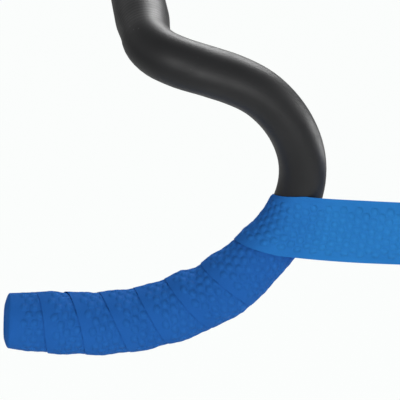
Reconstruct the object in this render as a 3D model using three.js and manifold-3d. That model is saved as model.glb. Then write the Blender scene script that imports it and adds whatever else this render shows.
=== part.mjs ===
// Road drop handlebar with cushioned tape being wound up its right drop.
// The tape starts at the bar end, laps over itself turn by turn, leaves the bar
// at the hook as a free strip and ends in the roll of what is still unwound.
// Millimetres. Origin at the middle of the stem clamp, +X forward, +Z up,
// right drop at -Y.
import * as THREE from 'three';
import { mergeVertices } from 'three/addons/utils/BufferGeometryUtils.js';
import Module from 'manifold-3d';

const wasm = await Module();
wasm.setup();

// Handlebar: plan and side shape
const halfWidth = 220;
const forwardBendRadius = 25.4;
const rampSlope = 13.9;
const upperHook = { radius: 66.6, turn: 60.1 };
const middleHook = { radius: 53, turn: 38.7 };
const lowerHook = { radius: 102.3, turn: 73.7 };
const dropTail = 40.9;

// Handlebar: tube
const tubeRadius = 11.9;
const tubeWall = 2;
const rampRadius = 12.2;
const topsRadius = 13.5;
const clampRadius = 15.9;
const clampHalfLength = 26;
const clampTaper = 30;
const topsTaper = 20;
const topsTaperEnd = -2;
const rampTaper = 60;

// Tape: its section
const tapeWidth = 34.5;
const tapeThickness = 2.4;
const tapeEdgeThickness = 0.55;
const tapeEdgeTaper = 9;
const clearance = 0.3;

// Tape: first turn, folded over the bar end and tucked into the tube
const firstTurnWidth = 30;
const tuckDepth = 9;
const rimOverhang = 2.6;

// Tape: where each hand-wound turn's near edge lies, from the bar end along the bar,
// on the side that faces out and on the inside of the drop a quarter turn earlier
const edgeOutside = [17.9, 37.2, 57.5, 75.7, 96, 117, 150.5];
const edgeInside = [14.2, 30.7, 49, 69.3, 87.9, 113.7, 139.2];
const firstEdge = 4;
const lastEdge = 151.5;
const lastUnderEdge = 120.5;
const windStart = 0.3;
const leadIn = 0.55;
const layAngle = 14;
const insideCrowding = 0.5;
const bridgeSlope = 0.13;
const turnGap = 0.25;

// Tape: free strip and roll
const freeRun = 104;
const leaveRun = 30;
const freeSlope = 9;
const freeTilt = 6.3;
const rollRadius = 31;
const rollCoreRadius = 8;

// Fineness
const barSides = 28;
const barStep = 9;
const windSteps = 28;
const freeSteps = 9;
const rollSteps = 20;
const tapeStations = [0, 0.09, 0.25, 0.42, 0.56, 0.78, 1];

const radians = THREE.MathUtils.degToRad;
const smooth = THREE.MathUtils.smoothstep;
const outward = new THREE.Vector3(0, -1, 0);
const turnsOnBar = edgeOutside.length;

// A closed solid from rings of points: each ring joins the next, and the ends are capped
// or, where closed is true, the last ring joins the first
function skin(rings, closed = false) {
  const count = rings[0].length;
  const points = rings.flat();
  const faces = [];
  const last = closed ? rings.length : rings.length - 1;
  for (let i = 0; i < last; i += 1) {
    const next = (i + 1) % rings.length;
    for (let j = 0; j < count; j += 1) {
      const k = (j + 1) % count;
      const [a, b, c, d] = [i * count + j, i * count + k, next * count + k, next * count + j];
      faces.push(a, b, c, a, c, d);
    }
  }
  if (!closed) {
    capStrip(faces, 0, count, true);
    capStrip(faces, (rings.length - 1) * count, count, false);
  }
  const geometry = new THREE.BufferGeometry();
  geometry.setAttribute('position', new THREE.BufferAttribute(
    new Float32Array(points.flatMap((p) => [p.x, p.y, p.z])), 3));
  geometry.setIndex(faces);
  return geometry;
}

// The end of a tape sweep: its ring runs out along the face and back along the underside
function capStrip(faces, start, count, atStart) {
  for (let j = 0; j < count / 2 - 1; j += 1) {
    const [a, b] = [start + j, start + j + 1];
    const [c, d] = [start + count - 2 - j, start + count - 1 - j];
    if (atStart) {
      faces.push(a, c, b, a, d, c);
    } else {
      faces.push(a, b, c, a, c, d);
    }
  }
}

function solidOf(geometry) {
  const bare = geometry.clone();
  bare.deleteAttribute('normal');
  bare.deleteAttribute('uv');
  const merged = mergeVertices(bare, 1e-4);
  return new wasm.Manifold(new wasm.Mesh({
    numProp: 3,
    vertProperties: new Float32Array(merged.attributes.position.array),
    triVerts: new Uint32Array(merged.index.array),
  }));
}

function geometryOf(solid) {
  const mesh = solid.getMesh();
  const geometry = new THREE.BufferGeometry();
  geometry.setAttribute('position', new THREE.BufferAttribute(mesh.vertProperties, 3));
  geometry.setIndex(new THREE.BufferAttribute(mesh.triVerts, 1));
  return geometry;
}

// Centre line of the right half, as stretches that start at the clamp
function makeStretches() {
  const tops = halfWidth - forwardBendRadius;
  const across = new THREE.Vector3(0, -1, 0);
  const down = new THREE.Vector3(0, 1, 0);
  const ramp = radians(rampSlope);
  const forward = new THREE.Vector3(Math.cos(ramp), 0, -Math.sin(ramp));
  const bendAxis = new THREE.Vector3().crossVectors(across, forward);
  const plan = [
    { length: tops },
    { radius: forwardBendRadius, turn: Math.PI / 2, axis: bendAxis },
    ...[upperHook, middleHook, lowerHook].map(
      (arc) => ({ radius: arc.radius, turn: radians(arc.turn), axis: down })),
    { length: dropTail },
  ];
  const point = new THREE.Vector3();
  const tangent = across.clone();
  let start = 0;
  return plan.map((stretch) => {
    const length = stretch.length ?? stretch.radius * stretch.turn;
    const here = { ...stretch, start, length, point: point.clone(), tangent: tangent.clone() };
    const end = along(here, length);
    point.copy(end.point);
    tangent.copy(end.tangent);
    start += length;
    return here;
  });
}

function along(stretch, distance) {
  if (!stretch.radius) {
    const point = stretch.point.clone().addScaledVector(stretch.tangent, distance);
    return { point, tangent: stretch.tangent.clone(), curvature: 0 };
  }
  const angle = distance / stretch.radius;
  const toCentre = new THREE.Vector3().crossVectors(stretch.axis, stretch.tangent);
  const point = stretch.point.clone()
    .addScaledVector(stretch.tangent, stretch.radius * Math.sin(angle))
    .addScaledVector(toCentre, stretch.radius * (1 - Math.cos(angle)));
  const tangent = stretch.tangent.clone().applyAxisAngle(stretch.axis, angle);
  return { point, tangent, curvature: 1 / stretch.radius };
}

const stretches = makeStretches();
const lastStretch = stretches[stretches.length - 1];
const halfLength = lastStretch.start + lastStretch.length;
const topsEnd = stretches[1].start + topsTaperEnd;
const rampStart = stretches[2].start;

function centreLine(distance) {
  const stretch = stretches.findLast((s) => s.start <= distance) ?? stretches[0];
  return along(stretch, distance - stretch.start);
}

function barRadius(distance) {
  const toTops = smooth(distance, clampHalfLength, clampHalfLength + clampTaper);
  const toRamp = smooth(distance, topsEnd - topsTaper, topsEnd);
  const toDrop = smooth(distance, rampStart, rampStart + rampTaper);
  return clampRadius + (topsRadius - clampRadius) * toTops
    + (rampRadius - topsRadius) * toRamp + (tubeRadius - rampRadius) * toDrop;
}

// Distances of the bar's rings from the clamp centre: close together in the bends
function barStations() {
  const stations = [0, clampHalfLength, clampHalfLength + clampTaper / 2, clampHalfLength + clampTaper];
  for (const stretch of stretches) {
    const step = stretch.radius ? Math.min(barStep, stretch.radius * radians(8)) : barStep * 4;
    const count = Math.ceil(stretch.length / step);
    for (let i = 0; i < count; i += 1) {
      stations.push(stretch.start + (stretch.length * i) / count);
    }
  }
  stations.push(halfLength);
  const sorted = stations.sort((a, b) => a - b);
  return sorted.filter((s, i) => i === 0 || s - sorted[i - 1] > 1);
}

function crossSides(distance, tangent) {
  const side = distance < rampStart
    ? stretches[1].axis.clone()
    : new THREE.Vector3(-tangent.z, 0, tangent.x);
  return { side, other: new THREE.Vector3().crossVectors(tangent, side) };
}

function circle(distance, radius, mirrored = false) {
  const { point, tangent } = centreLine(distance);
  const { side, other } = crossSides(distance, tangent);
  return Array.from({ length: barSides }, (_, i) => {
    const angle = (2 * Math.PI * i) / barSides;
    const ringPoint = point.clone()
      .addScaledVector(side, radius * Math.cos(angle))
      .addScaledVector(other, radius * Math.sin(angle));
    return mirrored ? ringPoint.setY(-ringPoint.y) : ringPoint;
  });
}

function barRings(stations, inset) {
  const left = stations.slice(1).reverse().map((d) => circle(d, barRadius(d) - inset, true));
  const right = stations.map((d) => circle(d, barRadius(d) - inset));
  return [...left, ...right];
}

function handlebarGeometry() {
  const stations = barStations();
  const boreStations = stations.filter((_, i) => i % 2 === 0 || i === stations.length - 1);
  return skin([...barRings(stations, 0), ...barRings(boreStations, tubeWall).reverse()], true);
}

// Tape thickness at a distance from its near edge: thinner along both edges
function thicknessAt(across) {
  const fromEdge = Math.min(across, tapeWidth - across);
  return tapeEdgeThickness
    + (tapeThickness - tapeEdgeThickness) * smooth(fromEdge, 0, tapeEdgeTaper);
}

// The first turn: a sleeve on the bar end that folds over the rim and into the bore
function firstTurnGeometry() {
  const inside = tubeRadius + clearance;
  const face = inside + tapeThickness;
  const tuckOuter = tubeRadius - tubeWall - clearance;
  const tuckInner = tuckOuter - tapeThickness;
  const rimCentre = (face + tuckInner) / 2;
  const rimHalf = (face - tuckInner) / 2;
  const profile = [
    [firstTurnWidth, inside + tapeEdgeThickness],
    [firstTurnWidth - tapeEdgeTaper / 2, inside + (tapeThickness + tapeEdgeThickness) / 2],
    [firstTurnWidth - tapeEdgeTaper, face],
  ];
  const rimSteps = 7;
  for (let i = 0; i <= rimSteps; i += 1) {
    const angle = (Math.PI * i) / rimSteps;
    profile.push([-rimOverhang * Math.sin(angle), rimCentre + rimHalf * Math.cos(angle)]);
  }
  profile.push(
    [tuckDepth, tuckInner],
    [tuckDepth, tuckOuter],
    [-clearance, tuckOuter],
    [-clearance, inside],
    [firstTurnWidth, inside],
  );
  return skin(profile.map(([fromEnd, radius]) => circle(halfLength - fromEnd, radius)), true);
}

// Near edge of the wound tape after a number of turns, from the bar end along the bar
const edgeKnots = [
  [windStart, firstEdge],
  ...edgeOutside.flatMap((edge, i) => [[i + 0.75, edgeInside[i]], [i + 1, edge]]),
  [turnsOnBar + 0.1, lastEdge],
];
edgeKnots.splice(-3, 0, [turnsOnBar - 0.8, lastUnderEdge]);
const nearEdge = new THREE.CubicInterpolant(
  edgeKnots.map((knot) => knot[0]), edgeKnots.map((knot) => knot[1]), 1, new Float32Array(1));

// How one place of the winding lies on the bar: its angle, its near edge and how far it
// reaches along the bar, more on the inside of the bend than on the outside
function windingAt(turns) {
  const angle = -2 * Math.PI * turns;
  const start = nearEdge.evaluate(turns)[0];
  const radius = tubeRadius + clearance + tapeThickness / 2;
  const slanted = tapeWidth / Math.cos(radians(layAngle));
  const near = centreLine(halfLength - start).tangent;
  const far = centreLine(halfLength - start - slanted).tangent;
  const crowding = (near.angleTo(far) / slanted) * radius * insideCrowding;
  return { angle, start, reach: slanted / (1 - crowding * Math.sin(angle)) };
}

function onBar(fromEnd, angle, height) {
  const { point, tangent } = centreLine(halfLength - fromEnd);
  const inward = new THREE.Vector3(tangent.z, 0, -tangent.x);
  return point
    .addScaledVector(outward, (tubeRadius + height) * Math.cos(angle))
    .addScaledVector(inward, (tubeRadius + height) * Math.sin(angle));
}

// Heights above the tube, at each millimetre from the bar end: what lies under a turn,
// bridged where the tape spans a step, and the face of the turn itself
function layTurn(winding, below) {
  const reach = Math.round(tapeEdgeTaper);
  const support = below.map((height) => (height > 0 ? height + turnGap : clearance));
  const base = support.map((_, i) => {
    let height = clearance;
    for (let j = Math.max(0, i - reach); j <= Math.min(support.length - 1, i + reach); j += 1) {
      height = Math.max(height, support[j] - bridgeSlope * Math.abs(i - j));
    }
    return height;
  });
  const face = base.map((height, fromEnd) => {
    const across = ((fromEnd - winding.start) / winding.reach) * tapeWidth;
    return across < 0 || across > tapeWidth ? 0 : height + thicknessAt(across);
  });
  return { base, face };
}

function heightAt(heights, fromEnd) {
  const i = Math.min(Math.max(Math.floor(fromEnd), 0), heights.length - 2);
  return THREE.MathUtils.lerp(heights[i], heights[i + 1], fromEnd - i);
}

function firstTurnFace() {
  const length = Math.ceil(edgeOutside[turnsOnBar - 1] + 2 * tapeWidth);
  return Array.from({ length }, (_, fromEnd) => {
    const across = firstTurnWidth - fromEnd;
    const thickness = thicknessAt(Math.min(across, tapeWidth / 2));
    return across > 0 ? clearance + thickness : 0;
  });
}

// One ring of the tape: along its face from the far edge to the near one, then back
function tapeRing(underside, face) {
  return [...face].reverse().concat(underside);
}

function woundRings() {
  const first = Math.round(windStart * windSteps);
  const faces = [];
  const rings = [];
  for (let i = first; i <= turnsOnBar * windSteps; i += 1) {
    const turns = i / windSteps;
    const winding = windingAt(turns);
    const below = faces[i - windSteps] ?? firstTurnFace();
    const { base, face } = layTurn(winding, below);
    faces[i] = face;
    const raised = smooth(turns, windStart, windStart + leadIn);
    const ring = tapeStations.map((station) => {
      const fromEnd = winding.start + station * winding.reach;
      const rest = heightAt(base, fromEnd);
      const height = THREE.MathUtils.lerp(Math.min(rest, clearance * 1.5), rest, raised);
      return { fromEnd, height, thickness: thicknessAt(station * tapeWidth) };
    });
    rings.push(tapeRing(
      ring.map((p) => onBar(p.fromEnd, winding.angle, p.height)),
      ring.map((p) => onBar(p.fromEnd, winding.angle, p.height + p.thickness))));
  }
  return rings;
}

// A flat stretch of tape round a point: where it runs to, and the way its face looks
function flatRing(middle, run, lookout) {
  const across = new THREE.Vector3().crossVectors(lookout, run).normalize();
  const place = (station, height) => middle.clone()
    .addScaledVector(across, (station - 0.5) * tapeWidth)
    .addScaledVector(lookout, height);
  return tapeRing(
    tapeStations.map((station) => place(station, 0)),
    tapeStations.map((station) => place(station, thicknessAt(station * tapeWidth))));
}

function middleOf(ring) {
  const under = ring.slice(tapeStations.length);
  return under[0].clone().add(under[under.length - 1]).multiplyScalar(0.5);
}

// The free strip: it leaves the bar along the winding, turns a little and runs straight
function freeRings(wound) {
  const [before, leave] = wound.slice(-2);
  const start = middleOf(leave);
  const startRun = start.clone().sub(middleOf(before)).normalize();
  const slope = radians(freeSlope);
  const endRun = new THREE.Vector3(Math.cos(slope), 0, -Math.sin(slope));
  const endLookout = outward.clone().applyAxisAngle(endRun, -radians(freeTilt));
  const corner = start.clone().addScaledVector(startRun, leaveRun);
  const end = corner.clone().addScaledVector(endRun, freeRun - leaveRun);
  const path = new THREE.QuadraticBezierCurve3(start, corner, end);
  const flatAt = (t) => {
    const run = path.getTangent(t);
    const lookout = outward.clone().lerp(endLookout, smooth(t, 0, 0.5));
    lookout.addScaledVector(run, -lookout.dot(run)).normalize();
    return flatRing(path.getPoint(t), run, lookout);
  };
  const settled = flatAt(0).map((p, i) => leave[i].clone().sub(p));
  const rings = [];
  for (let i = 1; i <= freeSteps; i += 1) {
    const t = i / freeSteps;
    const keep = 1 - smooth(t, 0, 0.5);
    rings.push(flatAt(t).map((p, j) => p.addScaledVector(settled[j], keep)));
  }
  return { rings, end, run: endRun, lookout: endLookout };
}

// The roll: a spiral that starts where the free strip ends and winds inwards behind it
function rollRings({ end, run, lookout }) {
  const startRadius = rollRadius - tapeThickness;
  const centre = end.clone().addScaledVector(lookout, -startRadius);
  const pitch = tapeThickness + turnGap;
  const steps = Math.floor(((startRadius - rollCoreRadius) / pitch) * rollSteps);
  return Array.from({ length: steps }, (_, i) => {
    const turns = (i + 1) / rollSteps;
    const angle = 2 * Math.PI * turns;
    const look = lookout.clone().multiplyScalar(Math.cos(angle))
      .addScaledVector(run, Math.sin(angle));
    const heading = run.clone().multiplyScalar(Math.cos(angle))
      .addScaledVector(lookout, -Math.sin(angle));
    const middle = centre.clone().addScaledVector(look, startRadius - pitch * turns);
    return flatRing(middle, heading, look);
  });
}

function tapeGeometry() {
  const wound = woundRings();
  const free = freeRings(wound);
  const strip = skin([...wound, ...free.rings, ...rollRings(free)]);
  return geometryOf(solidOf(strip).add(solidOf(firstTurnGeometry())));
}

function addPart(group, name, geometry, look) {
  geometry.computeVertexNormals();
  const mesh = new THREE.Mesh(geometry, new THREE.MeshStandardMaterial(look));
  mesh.name = name;
  group.add(mesh);
}

const group = new THREE.Group();
addPart(group, 'handlebar', geometryOf(solidOf(handlebarGeometry())),
  { color: 0x37383b, roughness: 0.45, metalness: 0.3 });
addPart(group, 'bar_tape', tapeGeometry(), { color: 0x2a6bb8, roughness: 0.6, metalness: 0 });

export default group;
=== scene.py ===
import math

import bpy
import numpy as np
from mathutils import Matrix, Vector


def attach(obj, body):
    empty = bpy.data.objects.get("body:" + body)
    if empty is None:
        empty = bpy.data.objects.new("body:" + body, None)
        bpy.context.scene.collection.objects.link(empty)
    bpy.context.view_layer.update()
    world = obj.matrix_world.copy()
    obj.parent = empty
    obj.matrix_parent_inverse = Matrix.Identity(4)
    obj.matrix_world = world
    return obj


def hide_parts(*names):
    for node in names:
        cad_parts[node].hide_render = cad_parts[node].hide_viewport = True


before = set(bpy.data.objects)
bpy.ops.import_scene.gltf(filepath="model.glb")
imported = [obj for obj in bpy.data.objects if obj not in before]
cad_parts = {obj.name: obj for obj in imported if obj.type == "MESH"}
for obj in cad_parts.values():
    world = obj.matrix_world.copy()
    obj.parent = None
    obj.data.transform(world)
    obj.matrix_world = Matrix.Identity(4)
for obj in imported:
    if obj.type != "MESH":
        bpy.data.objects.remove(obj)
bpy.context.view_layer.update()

# Drop handlebar with cushioned tape being wound up its right drop.
# Sizes are in millimetres, in the CAD frame, and a mesh goes to metres when it is made.
millimetre = 0.001
sharpAngle = 40
scene = bpy.context.scene
scene.view_settings.view_transform = "Standard"

photoView = {
    "place": (-65.707, -926.576, 361.492),
    "looksAlong": (0.10602498, 0.84378593, -0.52610266),
    "lens": 150.73,
    "sensor": 36,
    "clipStart": 10,
}


def makeCamera(view):
    camera = bpy.data.objects.new("photoCamera", bpy.data.cameras.new("photoCamera"))
    scene.collection.objects.link(camera)
    camera.location = [c * millimetre for c in view["place"]]
    camera.rotation_euler = Vector(view["looksAlong"]).to_track_quat("-Z", "Y").to_euler()
    camera.data.sensor_fit = "HORIZONTAL"
    camera.data.sensor_width = view["sensor"]
    camera.data.lens = view["lens"]
    camera.data.clip_start = view["clipStart"] * millimetre
    scene.camera = camera


makeCamera(photoView)
print("camera ready")


def smooth(value, low, high):
    t = np.clip((np.asarray(value, float) - low) / (high - low), 0, 1)
    return t * t * (3 - 2 * t)


def between(value, rise, fall):
    # goes up over the first span and down again over the second
    return smooth(value, *rise) * (1 - smooth(value, *fall))


def unit(vectors):
    return vectors / np.linalg.norm(vectors, axis=-1, keepdims=True)


def turned(vector, axis, angle):
    # rotates a vector about an axis that is square to it
    return vector * math.cos(angle) + np.cross(axis, vector) * math.sin(angle)


# A mesh from rings of points. Each ring joins the next, and the last joins the first where it is closed.
# Otherwise the two end rings are capped
def skinMesh(name, rings, attributes, closed=False, uv=None):
    ringCount, sides = rings.shape[:2]
    lastRing = ringCount if closed else ringCount - 1
    i, j = np.meshgrid(np.arange(lastRing), np.arange(sides), indexing="ij")
    nextRing, nextSide = (i + 1) % ringCount, (j + 1) % sides
    quads = np.stack([i * sides + j, i * sides + nextSide,
                      nextRing * sides + nextSide, nextRing * sides + j], axis=-1).reshape(-1, 4)
    ends = [] if closed else [np.arange(sides)[::-1], np.arange(sides) + lastRing * sides]
    corners = np.concatenate([quads.ravel(), *ends])
    starts = np.concatenate([np.arange(len(quads)) * 4, quads.size + np.arange(len(ends)) * sides])
    mesh = bpy.data.meshes.new(name)
    mesh.vertices.add(ringCount * sides)
    mesh.vertices.foreach_set("co", (rings.reshape(-1, 3) * millimetre).astype(np.float32).ravel())
    mesh.loops.add(len(corners))
    mesh.loops.foreach_set("vertex_index", corners.astype(np.int32))
    mesh.polygons.add(len(starts))
    mesh.polygons.foreach_set("loop_start", starts.astype(np.int32))
    mesh.update(calc_edges=True)
    for label, values in attributes.items():
        field = mesh.attributes.new(label, "FLOAT", "POINT")
        field.data.foreach_set("value", np.asarray(values, np.float32).ravel())
    if uv is not None:
        layer = mesh.uv_layers.new(name="cut")
        layer.data.foreach_set("uv", uv.reshape(-1, 2)[corners].astype(np.float32).ravel())
    mesh.polygons.foreach_set("use_smooth", np.ones(len(mesh.polygons), bool))
    mesh.set_sharp_from_angle(angle=math.radians(sharpAngle))
    piece = bpy.data.objects.new(name, mesh)
    scene.collection.objects.link(piece)
    return piece


# Handlebar: the centre line of the right half, as stretches that start at the clamp
bar = {
    "halfWidth": 220,
    "forwardBendRadius": 25.4,
    "rampSlope": 13.9,
    "hooks": [(66.6, 60.1), (53, 38.7), (102.3, 73.7)],   # radius, and degrees turned
    "dropTail": 40.9,
    "tubeRadius": 11.9,
    "tubeWall": 2,
    "rampRadius": 12.2,
    "topsRadius": 13.5,
    "clampRadius": 15.9,
    "clampHalfLength": 26,
    "clampTaper": 30,
    "topsTaper": 20,
    "topsTaperEnd": -2,
    "rampTaper": 60,
    "rampEasing": [
        {"lift": 0.45, "rise": (-24, -14), "fall": (-8, 4)},
        {"lift": -0.8, "rise": (-4, 9), "fall": (15, 34)},
    ],
    "bendMarksRise": (-60, -30),
    "bendMarksFall": (0, 12),
    "clampFade": 3,
    "endRounding": 0.5,
    "endArc": [30, 60, 90],
    "sides": 72,
    "step": 3.2,
    "boreStep": 12,
}


def makeStretches():
    slope = math.radians(bar["rampSlope"])
    across = np.array([0.0, -1.0, 0.0])
    forward = np.array([math.cos(slope), 0.0, -math.sin(slope)])
    down = np.array([0.0, 1.0, 0.0])
    plan = [(bar["halfWidth"] - bar["forwardBendRadius"], None, None),
            (None, bar["forwardBendRadius"], (math.pi / 2, np.cross(across, forward)))]
    plan += [(None, radius, (math.radians(turn), down)) for radius, turn in bar["hooks"]]
    plan.append((bar["dropTail"], None, None))
    made, point, tangent, start = [], np.zeros(3), across, 0.0
    for length, radius, bend in plan:
        if radius:
            length = radius * bend[0]
        here = {"start": start, "length": length, "radius": radius, "point": point,
                "tangent": tangent, "axis": bend[1] if bend else None}
        made.append(here)
        ends = along(here, np.array([length]))
        point, tangent = ends[0][0], ends[1][0]
        start += length
    return made


def along(stretch, distance):
    tangent = stretch["tangent"]
    if not stretch["radius"]:
        points = stretch["point"] + tangent * distance[:, None]
        return points, np.broadcast_to(tangent, points.shape)
    angle = (distance / stretch["radius"])[:, None]
    toCentre = np.cross(stretch["axis"], tangent)
    points = stretch["point"] + stretch["radius"] * (
        tangent * np.sin(angle) + toCentre * (1 - np.cos(angle)))
    return points, tangent * np.cos(angle) + toCentre * np.sin(angle)


stretches = makeStretches()
halfLength = stretches[-1]["start"] + stretches[-1]["length"]
topsEnd = stretches[1]["start"] + bar["topsTaperEnd"]
rampStart = stretches[2]["start"]


def centreLine(distance):
    shape = np.shape(distance)
    flat = np.asarray(distance, float).ravel()
    points, tangents = np.zeros((flat.size, 3)), np.zeros((flat.size, 3))
    for index, stretch in enumerate(stretches):
        inside = flat >= stretch["start"] if index else np.ones(flat.size, bool)
        points[inside], tangents[inside] = along(stretch, flat[inside] - stretch["start"])
    # the tube runs a little straighter into its ramp than the arcs do
    fromRamp = flat - rampStart
    for ease in bar["rampEasing"]:
        points[:, 2] += ease["lift"] * between(fromRamp, ease["rise"], ease["fall"])
    return points.reshape(*shape, 3), tangents.reshape(*shape, 3)


def barRadius(distance):
    toTops = smooth(distance, bar["clampHalfLength"], bar["clampHalfLength"] + bar["clampTaper"])
    toRamp = smooth(distance, topsEnd - bar["topsTaper"], topsEnd)
    toDrop = smooth(distance, rampStart, rampStart + bar["rampTaper"])
    return (bar["clampRadius"] + (bar["topsRadius"] - bar["clampRadius"]) * toTops
            + (bar["rampRadius"] - bar["topsRadius"]) * toRamp
            + (bar["tubeRadius"] - bar["rampRadius"]) * toDrop)


def circles(distance, radius):
    # rings round the bar, and the left half is the right one mirrored
    apart = np.abs(distance)
    points, tangents = centreLine(apart)
    side = np.stack([-tangents[:, 2], np.zeros(len(apart)), tangents[:, 0]], axis=1)
    side[apart < rampStart] = stretches[1]["axis"]
    other = np.cross(tangents, side)
    angle = 2 * np.pi * np.arange(bar["sides"]) / bar["sides"]
    radius = np.asarray(radius)[:, None, None]
    rings = points[:, None] + radius * (side[:, None] * np.cos(angle)[None, :, None]
                                        + other[:, None] * np.sin(angle)[None, :, None])
    rings[distance < 0, :, 1] *= -1
    return rings


def makeHandlebar():
    lip = bar["endRounding"]
    half = np.linspace(0, halfLength - lip, math.ceil(halfLength / bar["step"]))
    endArc = np.radians(bar["endArc"])
    outer = np.concatenate([half, halfLength - lip + lip * np.sin(endArc)])
    inset = np.concatenate([np.zeros(len(half)), lip * (1 - np.cos(endArc))])
    outerAt = np.concatenate([-outer[:0:-1], outer])
    outerInset = np.concatenate([inset[:0:-1], inset])
    boreHalf = np.linspace(0, halfLength, math.ceil(halfLength / bar["boreStep"]))
    boreAt = np.concatenate([-boreHalf[:0:-1], boreHalf])[::-1]
    stations = np.concatenate([outerAt, boreAt])
    radii = np.concatenate([barRadius(np.abs(outerAt)) - outerInset,
                            barRadius(np.abs(boreAt)) - bar["tubeWall"]])
    rings = circles(stations, radii)
    distance = np.repeat(np.abs(stations)[:, None], bar["sides"], axis=1)
    fields = {"alongBar": distance,
              "bendMarks": between(distance - topsEnd, bar["bendMarksRise"], bar["bendMarksFall"]),
              "clampZone": 1 - smooth(distance - bar["clampHalfLength"], -bar["clampFade"], 0)}
    return skinMesh("handlebarTube", rings, fields, closed=True)


# Tape: its section, and where each turn lies. The edges are distances from the bar end, at the outside and
# at the inside of the drop's bend. The caps are the heights that the layers reach at some of these distances
tape = {
    "width": 34.5,
    "thickness": 2.5,
    "foam": 4.8,              # the soft layer, before it is squeezed
    "edgeThickness": 0.34,
    "edgeTaper": 9,
    "edgeRounding": 1.6,
    "edgeDrop": 0.12,
    "clearance": 0.3,
    "edgeOutside": [17.9, 37.2, 57.5, 76.3, 97.3, 120.6, 151.3],
    "edgeInside": [14.2, 30.7, 48.3, 69.3, 89.0, 113.0, 139.8],
    "edgeUnder": 121.5,
    "firstEdge": 4,
    "lastEdge": 151.6,
    # places and fades along the winding, in turns
    "insideAt": 0.75,
    "edgeUnderAt": -0.8,
    "lastEdgeAt": 0.1,
    "windStart": 0.3,
    "leadIn": 0.55,
    "fadeIn": 0.2,
    "fadeOut": 0.25,
    "stripShadeRise": (-0.5, -0.15),
    "shadeFall": (0.2, 0.35),
    # how the layers lie
    "layAngle": 14,
    "insideCrowding": 0.5,    # share of the bend's shortening that a longer reach makes up for
    "startHeight": 2.6,
    "startRest": 0.45,
    "turnGap": 0.15,
    "layerFade": 5,
    "leastSqueeze": 0.02,
    "stepFade": 8,
    "swell": 0.7,
    "swellAt": 8,
    "capPlaces": [0, 10, 22, 35, 60, 75, 90, 98, 107, 116, 128, 145, 165],
    "capInside": [3.0, 3.4, 4.4, 3.4, 4.3, 4.0, 4.5, 4.9, 3.1, 3.7, 3.4, 2.6, 1.1],
    "capOutside": [1.6, 3.2, 3.6, 4.0, 4.2, 4.1, 4.6, 4.7, 4.4, 5.6, 3.5, 2.7, 2.7],
    # how the pattern and the painted shade end at the next turn's edge
    "coverFade": (-0.8, 0.4),
    "edgeShadowWidth": 0.6,
    "stripShadeWidth": 3.0,
    # how finely the surface is divided
    "stepsPerTurn": 132,
    "edgeStations": [0, 0.35, 1.1],
    "plainStation": 2.0,
    "patternFrom": 2.4,
    "patternStations": 46,
    "afterPattern": 1.2,
    "underShares": [0, 0.12, 0.4, 0.7, 0.88, 1],
}
pattern = {
    "columnSpacing": 4.05,
    "rowSpacing": 5.3,
    "rows": 5,
    "firstRow": 5.5,
    "radius": 2.0,
    "relief": 0.15,
    "roundness": 0.75,
}
turnsOnBar = len(tape["edgeOutside"])
outward = np.array([0.0, -1.0, 0.0])
rounding = 1e-6      # so that an edge still counts as its own turn
leastFoam = 0.01     # keeps the squeeze from dividing by nothing
neverCovered = 1e4   # an edge far past the bar, for the last turn
patternUnit = 100    # millimetres for each unit of the texture coordinates


def makeStations():
    # places across the tape, as shares of its width: close together where the rounds are
    edge, width = tape["edgeStations"], tape["width"]
    lastRow = pattern["firstRow"] + (pattern["rows"] - 0.5) * pattern["rowSpacing"]
    ending = lastRow + pattern["radius"]
    ribbed = np.linspace(tape["patternFrom"], ending, tape["patternStations"])
    closing = [ending + tape["afterPattern"], *[width - place for place in edge[::-1]]]
    face = np.concatenate([edge, [tape["plainStation"]], ribbed, closing]) / width
    return face, np.array(tape["underShares"])


tape["faceStations"], tape["underStations"] = makeStations()


def thicknessAt(across):
    fromEdge = np.minimum(across, tape["width"] - across)
    rise = smooth(fromEdge, 0, tape["edgeTaper"])
    return tape["edgeThickness"] + (tape["thickness"] - tape["edgeThickness"]) * rise


# The raised pattern: round domes in columns across the tape, every other column half a row on
def domesAt(alongTape, across):
    spacing, rowSpacing = pattern["columnSpacing"], pattern["rowSpacing"]
    column = np.round(alongTape / spacing)
    offset = pattern["firstRow"] + (column % 2) * rowSpacing / 2
    row = np.clip(np.round((across - offset) / rowSpacing), 0, pattern["rows"] - 1)
    distance = np.hypot(alongTape - column * spacing, across - offset - row * rowSpacing)
    inside = np.clip(1 - (distance / pattern["radius"]) ** 2, 0, 1)
    return inside ** pattern["roundness"]


# The near edge of the wound tape after a number of turns: a smooth curve through knots, most of them at
# the inside and the outside of the bend. Its slope at a knot is the mean of the two chords that meet there
edgeKnots = [(tape["windStart"], tape["firstEdge"])]
for turn in range(turnsOnBar):
    edgeKnots.append((turn + tape["insideAt"], tape["edgeInside"][turn]))
    edgeKnots.append((turn + 1, tape["edgeOutside"][turn]))
edgeKnots.append((turnsOnBar + tape["edgeUnderAt"], tape["edgeUnder"]))
edgeKnots.append((turnsOnBar + tape["lastEdgeAt"], tape["lastEdge"]))
knotAt, knotEdge = np.array(sorted(edgeKnots)).T
chords = np.diff(knotEdge) / np.diff(knotAt)
knotSlope = (np.concatenate([chords[:1], chords]) + np.concatenate([chords, chords[-1:]])) / 2


def nearEdge(turns):
    turns = np.asarray(turns, float)
    knot = np.clip(np.searchsorted(knotAt, turns, side="right"), 1, len(knotAt) - 1)
    span = knotAt[knot] - knotAt[knot - 1]
    share = (turns - knotAt[knot - 1]) / span
    eased = share * share * (3 - 2 * share)
    leaving = knotSlope[knot - 1] * span * share * (1 - share) ** 2
    arriving = knotSlope[knot] * span * share ** 2 * (1 - share)
    return knotEdge[knot - 1] * (1 - eased) + knotEdge[knot] * eased + leaving - arriving


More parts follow.
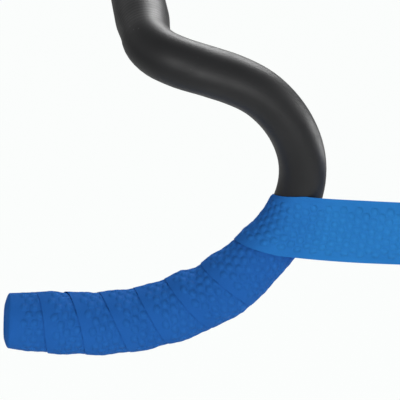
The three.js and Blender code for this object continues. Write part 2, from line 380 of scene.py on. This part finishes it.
def windingAt(turns):
    # the angle round the bar, the near edge, and how far along the bar the tape's width reaches
    angle = -2 * np.pi * turns
    start = nearEdge(turns)
    radius = bar["tubeRadius"] + tape["clearance"] + tape["thickness"] / 2
    slanted = tape["width"] / math.cos(math.radians(tape["layAngle"]))
    near = centreLine(halfLength - start)[1]
    far = centreLine(halfLength - start - slanted)[1]
    bend = np.arccos(np.clip((near * far).sum(axis=-1), -1, 1)) / slanted
    return angle, start, slanted / (1 - bend * radius * tape["insideCrowding"] * np.sin(angle))


def onBar(fromEnd, angle, height):
    # a point at a distance from the bar end, an angle round the bar and a height above it
    points, tangents = centreLine(halfLength - fromEnd)
    inward = np.stack([tangents[..., 2], np.zeros(tangents.shape[:-1]), -tangents[..., 0]], axis=-1)
    radius = (bar["tubeRadius"] + height)[..., None]
    angle = angle[..., None]
    return points + radius * (outward * np.cos(angle) + inward * np.sin(angle))


# The first turn: a sleeve that folds over the bar end and tucks into the bore
sleeve = {
    "width": 30,
    "tuckDepth": 9,
    "rimOverhang": 2.9,
    "rimArc": (8, 172),
    "rimFullness": 0.5,
    "rimLanding": 0.2,
    "faceSteps": 36,
    "rimSteps": 22,
    "tuckSteps": 8,
    "angleSteps": 150,
    "pleats": 15,
    "pleatDepth": 0.35,
    "pleatSway": 1.3,
    "pleatSwayWaves": 3,
    "pleatRise": (5, 22),
    "firstRow": 6.4,
    "patternRise": (3.6, 6.5),
}


# How high the layers at a place stand above the bar: the sleeve, then the turns. Each has a hard edge and
# soft foam, and the foam is squeezed so that all of them stay under a cap. The cap rises by a step where
# a turn's edge begins, and swells a little behind it
def stackAt(turns, place):
    width, fade, swellAt = tape["width"], tape["layerFade"], tape["swellAt"]
    windStart, step = tape["windStart"], tape["edgeThickness"] + tape["turnGap"]
    inside = (1 - np.sin(2 * np.pi * turns)[:, None]) / 2
    room = (np.interp(place, tape["capPlaces"], tape["capInside"]) * inside
            + np.interp(place, tape["capPlaces"], tape["capOutside"]) * (1 - inside)) - tape["clearance"]
    present = [1 - smooth(place, sleeve["width"], sleeve["width"] + fade)]
    soft = [tape["foam"] * smooth(sleeve["width"] - place, 0, tape["edgeTaper"])]
    for shift in (-2, -1, 0, 1, 2):
        here = turns + shift
        _, start, reach = windingAt(np.clip(here, windStart, turnsOnBar))
        across = (place - start[:, None]) / reach[:, None] * width
        wound = between(here, (windStart - tape["fadeIn"], windStart),
                        (turnsOnBar, turnsOnBar + tape["fadeOut"]))[:, None]
        begun = (across >= -rounding) * wound
        present.append(begun * (1 - smooth(across, width, width + fade)))
        fromEdge = np.minimum(across, width - across)
        soft.append(present[-1] * tape["foam"] * smooth(fromEdge, 0, tape["edgeTaper"]))
        room += step * begun * (1 - smooth(across, 0, tape["stepFade"]))
        room += tape["swell"] * wound * between(across, (0, swellAt), (swellAt, 2 * swellAt))
    # the sleeve and two earlier turns lie under this one, which is layer 3
    own = 3
    spare = room - step * sum(present) + tape["turnGap"]
    squeeze = np.clip(spare / np.maximum(sum(soft), leastFoam), tape["leastSqueeze"], 1)
    under = tape["clearance"] + sum(present[:own]) * step + sum(soft[:own]) * squeeze
    sleeveTop = tape["clearance"] + tape["edgeThickness"] + soft[0] * squeeze
    return under, under + tape["edgeThickness"] + soft[own] * squeeze, sleeveTop


def shownBefore(place, edge):
    # the raised rounds fade out where the next turn's edge covers them
    before, after = tape["coverFade"]
    return 1 - smooth(place, edge + before, edge + after)


def roundedTop(stations):
    # how far the face drops at the two edges, so that they aren't knife sharp
    fromEdge = np.minimum(stations, 1 - stations) * tape["width"]
    return tape["edgeDrop"] * (1 - smooth(fromEdge, 0, tape["edgeRounding"]))


def woundTape():
    first = round(tape["windStart"] * tape["stepsPerTurn"])
    turns = np.arange(first, turnsOnBar * tape["stepsPerTurn"] + 1) / tape["stepsPerTurn"]
    angle, start, reach = windingAt(turns)
    facePlace = start[:, None] + tape["faceStations"] * reach[:, None]
    underPlace = start[:, None] + tape["underStations"] * reach[:, None]
    # the tape starts low, against the sleeve
    raised = smooth(turns, tape["windStart"], tape["windStart"] + tape["leadIn"])[:, None]
    top = stackAt(turns, facePlace)[1] - roundedTop(tape["faceStations"])
    top = np.minimum(top, tape["startHeight"]) * (1 - raised) + top * raised
    rest = stackAt(turns, underPlace)[0]
    rest = np.minimum(rest, tape["startRest"]) * (1 - raised) + rest * raised
    flatFace = onBar(facePlace, angle[:, None], top)
    underside = onBar(underPlace, angle[:, None], rest)
    nextEdge = nearEdge(np.minimum(turns + 1, turnsOnBar))
    # painted shade along the edge of the next turn
    shade = edgeShade(facePlace, nextEdge, turns + 1)
    covered = np.where(turns + 1 <= turnsOnBar, nextEdge, neverCovered)[:, None]
    shown = shownBefore(facePlace, covered)
    return {"face": flatFace, "under": underside, "shown": shown, "shade": shade, "turns": turns}


# Painted shade where a turn meets the edge that covers it: a fine dark line of shadow along the step, and a
# wider painted shadow under the free strip
def edgeShade(place, edge, turns):
    underStrip = smooth(turns - turnsOnBar, *tape["stripShadeRise"])
    width = tape["edgeShadowWidth"] + (tape["stripShadeWidth"] - tape["edgeShadowWidth"]) * underStrip
    apart = np.maximum(edge[:, None] - place, 0) / width[:, None]
    ended = 1 - smooth(turns - turnsOnBar, *tape["shadeFall"])
    return np.exp(-apart ** 2) * ended[:, None]


def middleOf(ring):
    return (ring[0] + ring[-1]) / 2


# The free strip and the rest of the roll. A run is the way that the tape goes, and a lookout is the way
# that its face looks
strip = {
    "freeRun": 104,
    "leaveRun": 30,
    "leaveSteps": 5,
    "slope": 5.85,
    "tilt": 6.85,
    "untwistShare": 0.5,
    "steps": 156,
    "paleAtLeave": 0.7,
    "paleBefore": 0.3,
    "paleShare": 0.6,
}
roll = {
    "radius": 31,
    "coreRadius": 8,
    "fineTurns": 1.04,
    "outerSteps": 264,
    "innerSteps": 26,
    "patternFall": (0.97, 1.03),
}


def flatRows(middle, run, lookout, stations, lift):
    across = unit(np.cross(lookout, run))
    return (middle[:, None] + across[:, None] * ((stations - 0.5) * tape["width"])[None, :, None]
            + lookout[:, None] * lift[None, :, None])


def freeStrip(wound):
    # it leaves the bar along the winding, turns a little and runs straight
    middles = [middleOf(wound["under"][i]) for i in (-1 - strip["leaveSteps"], -1)]
    start = middles[1]
    startRun = unit(start - middles[0])
    slope = math.radians(strip["slope"])
    endRun = np.array([math.cos(slope), 0, -math.sin(slope)])
    endLookout = turned(outward, endRun, -math.radians(strip["tilt"]))
    corner = start + startRun * strip["leaveRun"]
    end = corner + endRun * (strip["freeRun"] - strip["leaveRun"])
    t = np.linspace(0, 1, strip["steps"] + 1)[:, None]
    untwisted = smooth(t, 0, strip["untwistShare"])
    middle = start * (1 - t) ** 2 + corner * 2 * t * (1 - t) + end * t ** 2
    run = unit((corner - start) * (1 - t) + (end - corner) * t)
    lookout = outward * (1 - untwisted) + endLookout * untwisted
    lookout = unit(lookout - run * (lookout * run).sum(axis=1, keepdims=True))
    face, under = tape["faceStations"], tape["underStations"]
    thick = thicknessAt(face * tape["width"]) - roundedTop(face)
    keep = (1 - untwisted)[:, :, None]
    flatFace = flatRows(middle, run, lookout, face, thick)
    underside = flatRows(middle, run, lookout, under, np.zeros(len(under)))
    flatFace += (wound["face"][-1] - flatFace[0]) * keep
    underside += (wound["under"][-1] - underside[0]) * keep
    made = {"face": flatFace[1:], "under": underside[1:], "keep": keep[1:, 0, 0]}
    return made, end, endRun, endLookout


def tapeRoll(end, run, lookout):
    # a spiral behind the strip's end: a fine outer turn, then the turns inside it
    startRadius = roll["radius"] - tape["thickness"]
    centre = end - lookout * startRadius
    pitch = tape["thickness"] + tape["turnGap"]
    allTurns = (startRadius - roll["coreRadius"]) / pitch
    outer = np.arange(1, roll["outerSteps"] + 1) / roll["outerSteps"] * roll["fineTurns"]
    inner = np.arange(outer[-1], allTurns, 1 / roll["innerSteps"])[1:]
    turns = np.concatenate([outer, inner])
    angle = (2 * np.pi * turns)[:, None]
    look = lookout * np.cos(angle) + run * np.sin(angle)
    heading = run * np.cos(angle) - lookout * np.sin(angle)
    middle = centre + look * (startRadius - pitch * turns)[:, None]
    face, under = tape["faceStations"], tape["underStations"]
    thick = thicknessAt(face * tape["width"]) - roundedTop(face)
    return {"face": flatRows(middle, heading, look, face, thick),
            "under": flatRows(middle, heading, look, under, np.zeros(len(under))),
            "shown": 1 - smooth(turns, *roll["patternFall"])}


def faceNormals(face):
    runs = np.gradient(face, axis=0)
    wides = np.gradient(face, axis=1)
    return unit(np.cross(wides, runs))


# A tape pulled by hand is never quite even: two crossed waves over its face
sway = {
    "height": 0.02,
    "along": 9.1,
    "across": 5.7,
    "drift": 31,
    "fineShare": 0.6,
    "fineAlong": 4.3,
    "fineAcross": 3.9,
    "finePhases": (2, 1),
    "edgeFade": 6,
}


def swayAt(alongTape, across):
    phase, phaseAcross = sway["finePhases"]
    broad = np.sin(alongTape / sway["along"]) * np.sin(across / sway["across"] + alongTape / sway["drift"])
    fine = np.sin(alongTape / sway["fineAlong"] + phase) * np.sin(across / sway["fineAcross"] + phaseAcross)
    fromEdge = np.minimum(across, tape["width"] - across)
    return sway["height"] * (broad + sway["fineShare"] * fine) * smooth(fromEdge, 0, sway["edgeFade"])


def makeTape():
    wound = woundTape()
    free, end, endRun, endLookout = freeStrip(wound)
    rolled = tapeRoll(end, endRun, endLookout)
    face = np.concatenate([wound["face"], free["face"], rolled["face"]])
    under = np.concatenate([wound["under"], free["under"], rolled["under"]])
    counts = [len(wound["face"]), len(free["face"]), len(rolled["face"])]
    stations = tape["faceStations"]
    middle = (face[:, 0] + face[:, -1]) / 2
    lengths = np.concatenate([[0], np.cumsum(np.linalg.norm(np.diff(middle, axis=0), axis=1))])
    # wound sections lie along the bar, so they are leant back to keep the columns square to the tape
    lean = math.tan(math.radians(tape["layAngle"]))
    keep = np.concatenate([np.ones(counts[0]), free["keep"], np.zeros(counts[2])])
    alongTape = lengths[:, None] + (stations - 0.5) * tape["width"] * lean * keep[:, None]
    across = np.broadcast_to(stations * tape["width"], alongTape.shape)
    shown = np.concatenate([wound["shown"], np.ones((counts[1], len(stations))),
                            np.repeat(rolled["shown"][:, None], len(stations), axis=1)])
    shade = np.concatenate([wound["shade"], np.zeros((counts[1] + counts[2], len(stations)))])
    domes = domesAt(alongTape, across) * shown
    raised = domes * pattern["relief"] + swayAt(alongTape, across) * shown
    normals = faceNormals(face)
    outwardNow = unit(face[:, len(stations) // 2] - under[:, len(under[0]) // 2])
    flip = np.sign((normals[:, len(stations) // 2] * outwardNow).sum(axis=1))[:, None, None]
    face = face + normals * flip * raised[..., None]
    rings = np.concatenate([face[:, ::-1], under], axis=1)
    # the tape is paler where it has left the bar
    pale = strip["paleAtLeave"]
    leaving = smooth(wound["turns"] - turnsOnBar, -strip["paleBefore"], 0) * pale
    left = pale + (1 - pale) * smooth(1 - free["keep"], 0, strip["paleShare"])
    unwound = np.concatenate([leaving, left, np.ones(counts[2])])
    plain = np.zeros((len(face), len(under[0])))
    fields = {
        "dome": np.concatenate([domes[:, ::-1], plain], axis=1),
        "shade": np.concatenate([shade[:, ::-1], plain], axis=1),
        "unwound": np.repeat(unwound[:, None], rings.shape[1], axis=1),
    }
    underAcross = np.broadcast_to(tape["underStations"] * tape["width"], plain.shape)
    underAlong = np.repeat(lengths[:, None], len(under[0]), axis=1)
    acrossAll = np.concatenate([across[:, ::-1], underAcross], axis=1)
    alongAll = np.concatenate([alongTape[:, ::-1], underAlong], axis=1)
    uv = np.stack([alongAll, acrossAll], axis=-1) / patternUnit
    return skinMesh("wrappingTape", rings, fields, uv=uv), float(lengths[-1])


def sleeveProfile():
    # from the inner edge of the face over the rim, down the tuck and back along the bar
    inside = bar["tubeRadius"] + tape["clearance"]
    outside = inside + tape["thickness"]
    tuckOuter = bar["tubeRadius"] - bar["tubeWall"] - tape["clearance"]
    tuckInner = tuckOuter - tape["thickness"]
    rimCentre, rimHalf = (outside + tuckInner) / 2, (outside - tuckInner) / 2
    faceFrom = np.linspace(sleeve["width"], 0, sleeve["faceSteps"])
    faceRadius = inside + thicknessAt(np.clip(sleeve["width"] - faceFrom, 0, tape["width"] / 2))
    rim = np.radians(np.linspace(*sleeve["rimArc"], sleeve["rimSteps"]))
    # the rim bulges past the bar end, fuller towards its inner side, and lands on the tuck
    inwards = (1 - np.cos(rim)) / 2
    landing = smooth(1 - inwards, 0, sleeve["rimLanding"])
    bulge = sleeve["rimOverhang"] * inwards ** sleeve["rimFullness"] * landing
    tuck = np.linspace(0, sleeve["tuckDepth"], sleeve["tuckSteps"])
    profile = np.concatenate([
        np.stack([faceFrom, faceRadius], axis=1),
        np.stack([-bulge, rimCentre + rimHalf * np.cos(rim)], axis=1),
        np.stack([tuck, np.full(len(tuck), tuckInner)], axis=1),
        [[sleeve["tuckDepth"], tuckOuter], [-tape["clearance"], tuckOuter],
         [-tape["clearance"], inside], [sleeve["width"], inside]],
    ])
    return profile, outside, tuckInner


def makeSleeve():
    profile, outside, tuckInner = sleeveProfile()
    faceEnd = sleeve["faceSteps"]
    rimEnd = faceEnd + sleeve["rimSteps"]
    tuckEnd = rimEnd + sleeve["tuckSteps"]
    angle = 2 * np.pi * np.arange(sleeve["angleSteps"]) / sleeve["angleSteps"]
    fromEnd = np.repeat(profile[None, :, 0], len(angle), axis=0)
    radius = np.repeat(profile[None, :, 1], len(angle), axis=0)
    wide = np.repeat(angle[:, None], len(profile), axis=1)
    turns = (-angle / (2 * np.pi)) % 1
    turns = np.where(turns < tape["windStart"], turns + 1, turns)
    radius[:, :faceEnd] = bar["tubeRadius"] + stackAt(turns, fromEnd[:, :faceEnd])[2]
    # the rim folds from the face's height down to the tuck
    rimRadii = radius[:, faceEnd:rimEnd]
    foldShare = (rimRadii - tuckInner) / (outside - tuckInner)
    rimRadii += (radius[:, faceEnd - 1:faceEnd] - outside) * foldShare
    onFace = np.arange(len(profile)) < faceEnd
    covered = nearEdge(turns)[:, None]
    shown = shownBefore(fromEnd, covered) * onFace
    # as many columns as fit round the sleeve
    columns = 2 * round(math.pi * outside / pattern["columnSpacing"])
    alongTape = np.broadcast_to(turns[:, None] * columns * pattern["columnSpacing"], wide.shape)
    domes = domesAt(alongTape, fromEnd - sleeve["firstRow"] + pattern["firstRow"]) * shown
    domes *= smooth(fromEnd, *sleeve["patternRise"])
    # pleats gather where the rim folds inwards
    folded = np.zeros(len(profile))
    folded[faceEnd:tuckEnd] = smooth(np.arange(tuckEnd - faceEnd), *sleeve["pleatRise"])
    swaying = sleeve["pleatSway"] * np.sin(wide * sleeve["pleatSwayWaves"])
    pleats = np.sin(wide * sleeve["pleats"] + swaying) * folded
    radius = radius + domes * pattern["relief"] + pleats * sleeve["pleatDepth"]
    rings = onBar(fromEnd, wide, radius - bar["tubeRadius"])
    # painted shade where the first wound turn's edge covers the sleeve
    shade = edgeShade(fromEnd, covered[:, 0], turns) * onFace
    fields = {"dome": domes, "shade": shade, "unwound": np.zeros(wide.shape)}
    uv = np.stack([alongTape, fromEnd], axis=-1) / patternUnit
    fields = {label: values[::-1] for label, values in fields.items()}
    return skinMesh("tuckedFirstTurn", rings[::-1], fields, closed=True, uv=uv[::-1])


handlebarTube = makeHandlebar()
print("handlebar tube made")
wrappingTape, tapeLength = makeTape()
firstTurn = makeSleeve()
print("tape made, mm long:", round(tapeLength))


# Materials
def addNode(tree, kind, values=None, **settings):
    made = tree.nodes.new(kind)
    for label, value in settings.items():
        setattr(made, label, value)
    for socket, value in (values or {}).items():
        made.inputs[socket].default_value = value
    return made


def ramp(tree, source, stops):
    made = addNode(tree, "ShaderNodeValToRGB")
    while len(made.color_ramp.elements) < len(stops):
        made.color_ramp.elements.new(0.5)
    for element, (position, colour) in zip(made.color_ramp.elements, stops):
        element.position = position
        element.color = (*colour, 1) if hasattr(colour, "__len__") else (colour, colour, colour, 1)
    tree.links.new(source, made.inputs["Fac"])
    return made.outputs["Color"]


def feed(tree, socket, source):
    # a socket takes another node's output or a plain value
    if isinstance(source, bpy.types.NodeSocket):
        tree.links.new(source, socket)
    else:
        socket.default_value = source


def mixed(tree, factor, first, second, blend="MIX"):
    made = addNode(tree, "ShaderNodeMix", data_type="RGBA", blend_type=blend)
    for index, source in ((0, factor), (6, first), (7, second)):
        feed(tree, made.inputs[index], source)
    return made.outputs[2]


def mathNode(tree, operation, first, second):
    made = addNode(tree, "ShaderNodeMath", operation=operation)
    for index, source in enumerate((first, second)):
        feed(tree, made.inputs[index], source)
    return made.outputs[0]


def noise(tree, where, scale, detail=3, roughness=0.5):
    made = addNode(tree, "ShaderNodeTexNoise",
                   {"Scale": scale, "Detail": detail, "Roughness": roughness})
    tree.links.new(where, made.inputs["Vector"])
    return made.outputs["Fac"]


def bumped(tree, height, bump, below=None):
    strength, distance = bump
    made = addNode(tree, "ShaderNodeBump", {"Strength": strength, "Distance": distance})
    tree.links.new(height, made.inputs["Height"])
    if below is not None:
        tree.links.new(below, made.inputs["Normal"])
    return made.outputs["Normal"]


def attributeOf(tree, label):
    return addNode(tree, "ShaderNodeAttribute", attribute_name=label).outputs["Fac"]


def startMaterial(name, sockets):
    material = bpy.data.materials.new(name)
    material.use_nodes = True
    tree = material.node_tree
    shader = tree.nodes["Principled BSDF"]
    for socket, value in sockets.items():
        shader.inputs[socket].default_value = value
    where = addNode(tree, "ShaderNodeTexCoord").outputs["Object"]
    return material, tree, shader, where


def tinted(tree, colour, tint, share=1.0):
    return mixed(tree, share, colour, tint, "MULTIPLY")


def setUnevenRoughness(tree, shader, where, look):
    low, high = look["roughness"]
    patches = noise(tree, where, look["roughnessScale"])
    tree.links.new(ramp(tree, patches, [(0.3, low), (0.7, high)]), shader.inputs["Roughness"])


def ringsAlong(tree, spacing, zone):
    # fine rings round the tube, in the zone where this attribute is 1
    rings = mathNode(tree, "MULTIPLY", attributeOf(tree, "alongBar"), 2 * math.pi / spacing)
    return mathNode(tree, "MULTIPLY", mathNode(tree, "SINE", rings, 0), attributeOf(tree, zone))


blackPaint = {
    "dark": (0.0135, 0.014, 0.015),
    "light": (0.0185, 0.019, 0.0205),
    "cloudScale": 45,
    "cloudDetail": 4,
    "speck": (0.20, 0.20, 0.21, 1),
    "speckScale": 260,
    "speckSize": 0.11,
    "speckPatches": 70,
    "speckShare": 0.55,
    "roughness": (0.40, 0.48),
    "roughnessScale": 120,
    "grainScale": 2600,
    "grainDetail": (2, 0.6),
    "grainBump": (0.35, 0.00012),
    "markSpacing": 2.6,
    "markBump": (0.25, 0.00006),
    "clampSpacing": 0.9,
    "clampBump": (0.6, 0.0001),
    "sockets": {"Specular IOR Level": 0.37, "Metallic": 0.0},
}
blueFoam = {
    "wound": (0.022, 0.145, 0.505, 1),
    "unwound": (0.030, 0.237, 0.65, 1),
    "patchDark": (0.93, 0.94, 0.96),
    "patchLight": (1.06, 1.05, 1.03),
    "patchScale": 55,
    "patchDetail": 4,
    # painted shade in the hollows between the raised rounds, and how much of it is laid on
    "paintedGrooveShade": (0.70, 0.72, 0.82),
    "paintedGrooveShadeShare": 0.3,
    # tint of the painted shadow at the covering edges and under the free strip
    "mottle": (0.94, 1.06),
    "edgeShadowTint": (0.84, 0.81, 0.86),
    "roughness": (0.58, 0.74),
    "roughnessScale": 240,
    "grainScale": 3200,
    "grainDetail": (2, 0.6),
    "domeBump": (1.0, 0.0007),
    "grainBump": (0.5, 0.0001),
    "creaseScale": 700,
    "creaseBump": (0.4, 0.00015),
    "sockets": {"Specular IOR Level": 0.05, "IOR": 1.3, "Metallic": 0.0},
}


def makeBlackPaint(look):
    material, tree, shader, where = startMaterial("satinBlackPaint", look["sockets"])
    cloud = noise(tree, where, look["cloudScale"], look["cloudDetail"])
    colour = ramp(tree, cloud, [(0.3, look["dark"]), (0.75, look["light"])])
    grain = noise(tree, where, look["grainScale"], *look["grainDetail"])
    # a few specks of dust caught in the paint
    dust = addNode(tree, "ShaderNodeTexVoronoi", {"Scale": look["speckScale"], "Randomness": 1.0})
    tree.links.new(where, dust.inputs["Vector"])
    near = ramp(tree, dust.outputs["Distance"], [(0.0, 1.0), (look["speckSize"], 0.0)])
    places = noise(tree, where, look["speckPatches"], detail=1)
    rare = ramp(tree, places, [(0.56, 0.0), (0.66, look["speckShare"])])
    specks = mathNode(tree, "MULTIPLY", near, rare)
    tree.links.new(mixed(tree, specks, colour, look["speck"]), shader.inputs["Base Color"])
    setUnevenRoughness(tree, shader, where, look)
    normal = bumped(tree, grain, look["grainBump"])
    # marks where the tube was bent, and turned rings in the clamp zone
    normal = bumped(tree, ringsAlong(tree, look["markSpacing"], "bendMarks"), look["markBump"], normal)
    normal = bumped(tree, ringsAlong(tree, look["clampSpacing"], "clampZone"), look["clampBump"], normal)
    tree.links.new(normal, shader.inputs["Normal"])
    return material


def makeBlueFoam(look):
    material, tree, shader, where = startMaterial("blueFoamTape", look["sockets"])
    colour = mixed(tree, attributeOf(tree, "unwound"), look["wound"], look["unwound"])
    patches = noise(tree, where, look["patchScale"], look["patchDetail"])
    patchy = ramp(tree, patches, [(0.25, look["patchDark"]), (0.75, look["patchLight"])])
    colour = tinted(tree, colour, patchy)
    dome = attributeOf(tree, "dome")
    # painted shade: the colour darkens in the hollows between the raised rounds
    colour = tinted(tree, colour, ramp(tree, dome, [(0.0, look["paintedGrooveShade"]), (0.5, 1.0)]), look["paintedGrooveShadeShare"])
    grain = noise(tree, where, look["grainScale"], *look["grainDetail"])
    darkGrain, lightGrain = look["mottle"]
    colour = tinted(tree, colour, ramp(tree, grain, [(0.3, darkGrain), (0.7, lightGrain)]))
    # painted shade: the colour darkens along each covering edge and under the free strip
    shade = attributeOf(tree, "shade")
    colour = tinted(tree, colour, ramp(tree, shade, [(0.0, 1.0), (1.0, look["edgeShadowTint"])]))
    tree.links.new(colour, shader.inputs["Base Color"])
    setUnevenRoughness(tree, shader, where, look)
    # the raised rounds catch a little more light than their height alone gives
    normal = bumped(tree, dome, look["domeBump"])
    normal = bumped(tree, grain, look["grainBump"], normal)
    normal = bumped(tree, noise(tree, where, look["creaseScale"]), look["creaseBump"], normal)
    tree.links.new(normal, shader.inputs["Normal"])
    return material


paint = makeBlackPaint(blackPaint)
foam = makeBlueFoam(blueFoam)
handlebarTube.data.materials.append(paint)
for piece in (wrappingTape, firstTurn):
    piece.data.materials.append(foam)
print("materials made")

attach(handlebarTube, "root")
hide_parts("handlebar")
for piece in (wrappingTape, firstTurn):
    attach(piece, "root")
    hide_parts("bar_tape")

# Studio: a pale floor far below the bar, white seen behind it, and soft lamps, all in metres
studio = {
    "floorHeight": -1.0,
    "floorSize": 8.0,
    "floorColour": (0.8, 0.81, 0.8, 1),
    "floorRoughness": 0.9,
    "floorShare": 0.985,
    "white": (0.973, 0.991, 0.982, 1),
    "fill": [(0.42, 0.05), (0.55, 0.5), (0.65, 0.5), (0.85, 0.32)],
    "lamps": {
        "backSoftbox": {"place": (0.54, 0.72, 0.45), "aim": (0, -0.2, -0.05),
                        "size": (0.8, 0.5), "power": 10.5},
        "rightSoftbox": {"place": (1.15, 0.15, -0.3), "aim": (0, -0.2, -0.08),
                         "size": (0.6, 0.6), "power": 6.3},
        "frontSoftbox": {"place": (0.2, -1.25, 0.0), "aim": (0, -0.2, -0.08),
                         "size": (0.6, 0.5), "power": 3.4},
        "leftSoftbox": {"place": (-0.5, -1.1, 0.45), "aim": (0, -0.2, -0.08),
                        "size": (0.7, 0.6), "power": 3.4},
        "lowSoftbox": {"place": (0.75, -0.75, -0.6), "aim": (0, -0.2, -0.08),
                       "size": (0.6, 0.6), "power": 0.5},
    },
}


def seenByCamera(tree):
    return addNode(tree, "ShaderNodeLightPath").outputs["Is Camera Ray"]


def mixShaders(tree, share, first, second):
    mix = addNode(tree, "ShaderNodeMixShader")
    for index, source in enumerate((share, first, second)):
        tree.links.new(source, mix.inputs[index])
    return mix.outputs[0]


def makeWorld(setup):
    # the room is brightest just above eye level, and darker overhead and at the floor
    world = bpy.data.worlds.new("studioWorld")
    world.use_nodes = True
    tree = world.node_tree
    room = tree.nodes["Background"]
    room.inputs["Color"].default_value = (1, 1, 1, 1)
    way = addNode(tree, "ShaderNodeTexCoord").outputs["Generated"]
    upright = addNode(tree, "ShaderNodeSeparateXYZ")
    tree.links.new(way, upright.inputs[0])
    height = addNode(tree, "ShaderNodeMapRange", {"From Min": -1.0, "From Max": 1.0})
    tree.links.new(upright.outputs["Z"], height.inputs["Value"])
    tree.links.new(ramp(tree, height.outputs[0], setup["fill"]), room.inputs["Strength"])
    white = addNode(tree, "ShaderNodeBackground", {"Color": setup["white"], "Strength": 1.0})
    seen = mixShaders(tree, seenByCamera(tree), room.outputs[0], white.outputs[0])
    tree.links.new(seen, tree.nodes["World Output"].inputs["Surface"])
    scene.world = world


def makeFloor(setup):
    half, z = setup["floorSize"] / 2, setup["floorHeight"]
    mesh = bpy.data.meshes.new("studioFloor")
    corners = [(-half, -half, z), (half, -half, z), (half, half, z), (-half, half, z)]
    mesh.from_pydata(corners, [], [(0, 1, 2, 3)])
    floor = bpy.data.objects.new("studioFloor", mesh)
    scene.collection.objects.link(floor)
    material = bpy.data.materials.new("paleFloor")
    material.use_nodes = True
    tree = material.node_tree
    shader = tree.nodes["Principled BSDF"]
    shader.inputs["Base Color"].default_value = setup["floorColour"]
    shader.inputs["Roughness"].default_value = setup["floorRoughness"]
    glow = addNode(tree, "ShaderNodeEmission", {"Color": setup["white"], "Strength": 1.0})
    share = mathNode(tree, "MULTIPLY", seenByCamera(tree), setup["floorShare"])
    seen = mixShaders(tree, share, shader.outputs[0], glow.outputs[0])
    tree.links.new(seen, tree.nodes["Material Output"].inputs["Surface"])
    mesh.materials.append(material)


def makeLamp(name, lamp):
    light = bpy.data.lights.new(name, "AREA")
    light.shape = "RECTANGLE"
    light.size, light.size_y = lamp["size"]
    light.energy = lamp["power"]
    made = bpy.data.objects.new(name, light)
    scene.collection.objects.link(made)
    place = Vector(lamp["place"])
    made.location = place
    made.rotation_euler = (Vector(lamp["aim"]) - place).to_track_quat("-Z", "Y").to_euler()
    made.visible_camera = False


makeWorld(studio)
makeFloor(studio)
for name, lamp in studio["lamps"].items():
    makeLamp(name, lamp)
print("studio made")
